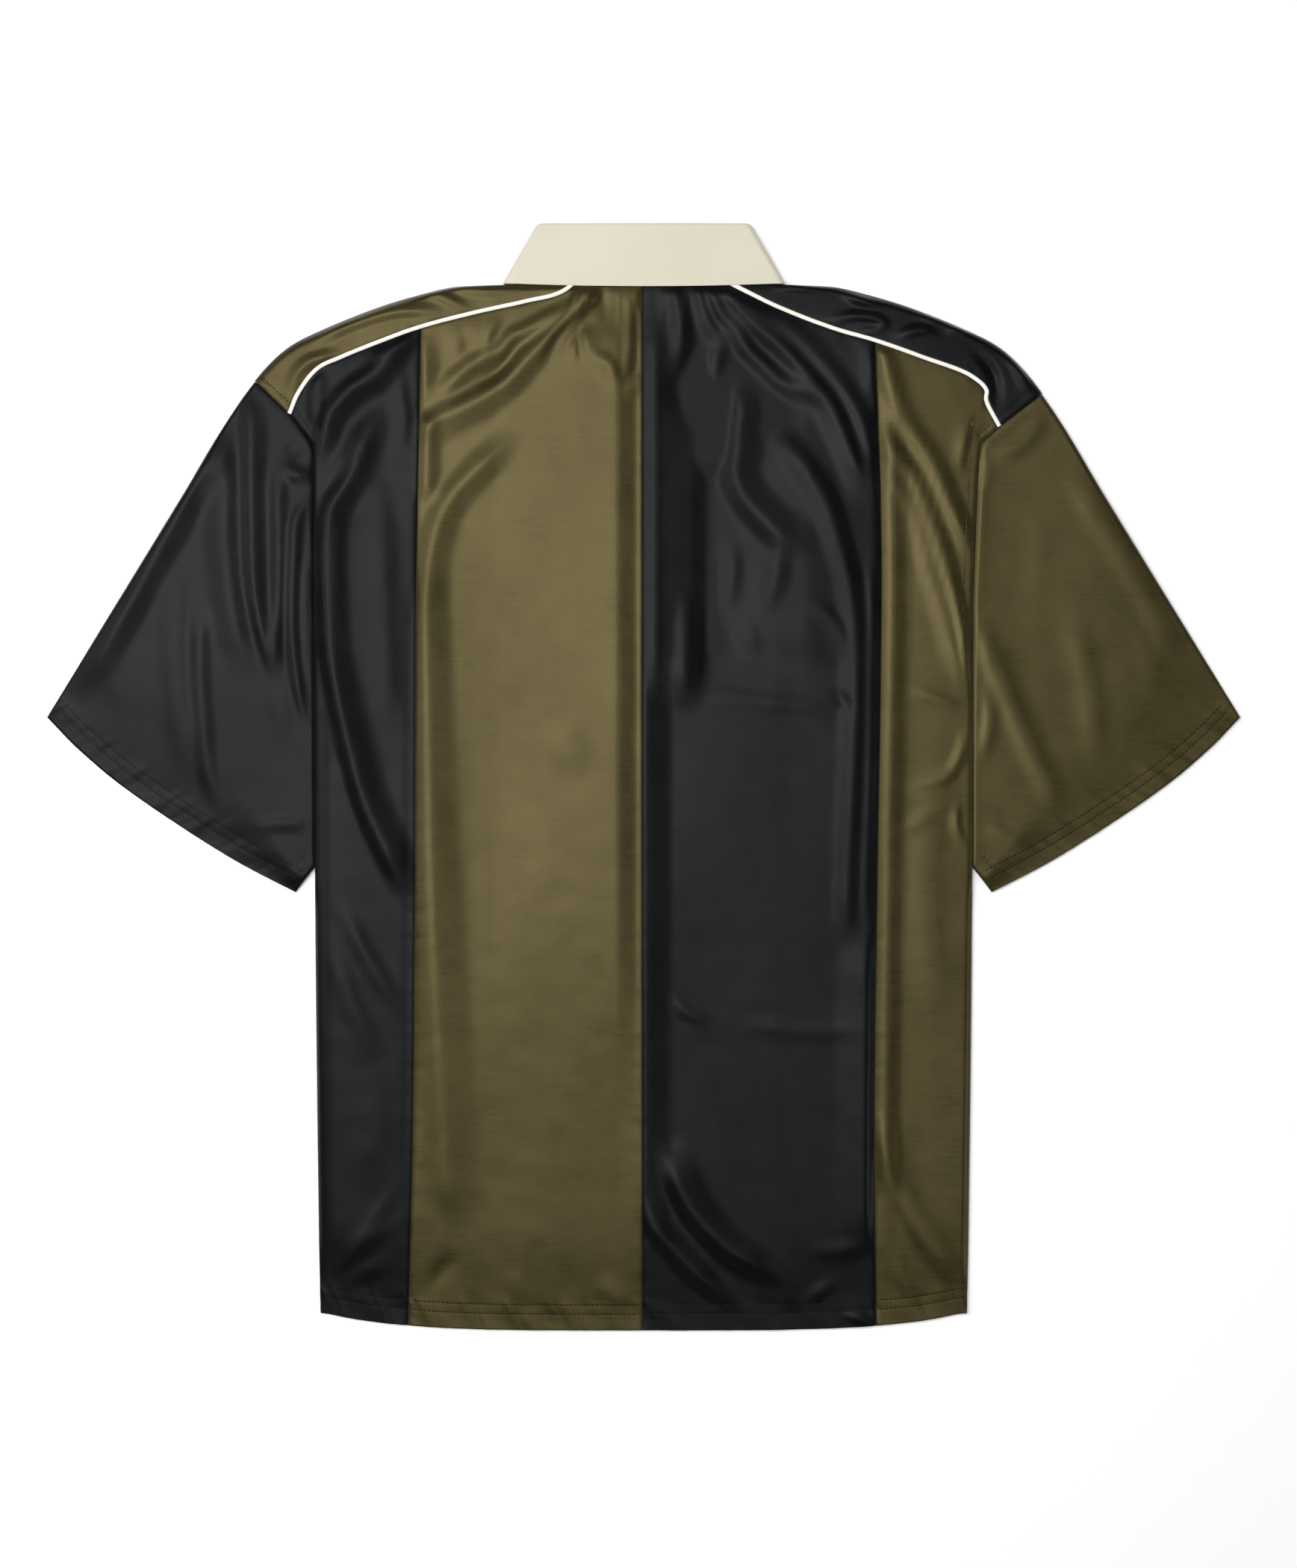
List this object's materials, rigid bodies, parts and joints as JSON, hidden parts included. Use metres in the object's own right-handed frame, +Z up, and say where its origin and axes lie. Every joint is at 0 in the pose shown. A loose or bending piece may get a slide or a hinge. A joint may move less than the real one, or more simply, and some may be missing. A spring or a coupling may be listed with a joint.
{
  "type": "polo shirt laid flat",
  "caption": "Oversized short-sleeved satin polo shirt in two tones, lying flat on its front with the back up, with folded collar and piped yoke seams.",
  "frame": {"origin": "middle of the footprint, on the surface that the shirt lies on", "axes": "+X towards the olive sleeve, +Y towards the collar, +Z up, out of the back panels"},
  "size_m": [0.8128, 0.7534, 0.0105],
  "materials": {
    "satin_olive": "satin",
    "satin_black": "satin",
    "collar_ecru": "matt",
    "piping_white": "matt",
    "button_horn": "gloss"
  },
  "bodies": {
    "root": {"back_side_left": "satin_black", "back_centre_left": "satin_olive", "back_centre_right": "satin_black", "back_side_right": "satin_olive", "yoke_left": "satin_olive", "yoke_right": "satin_black", "piping_left": "piping_white", "piping_right": "piping_white", "sleeve_left": "satin_black", "sleeve_right": "satin_olive", "front_left": "satin_black", "front_right": "satin_olive", "collar": "collar_ecru", "placket": "satin_black", "button_1": "button_horn", "button_2": "button_horn", "button_3": "button_horn"}
  },
  "joints": []
}
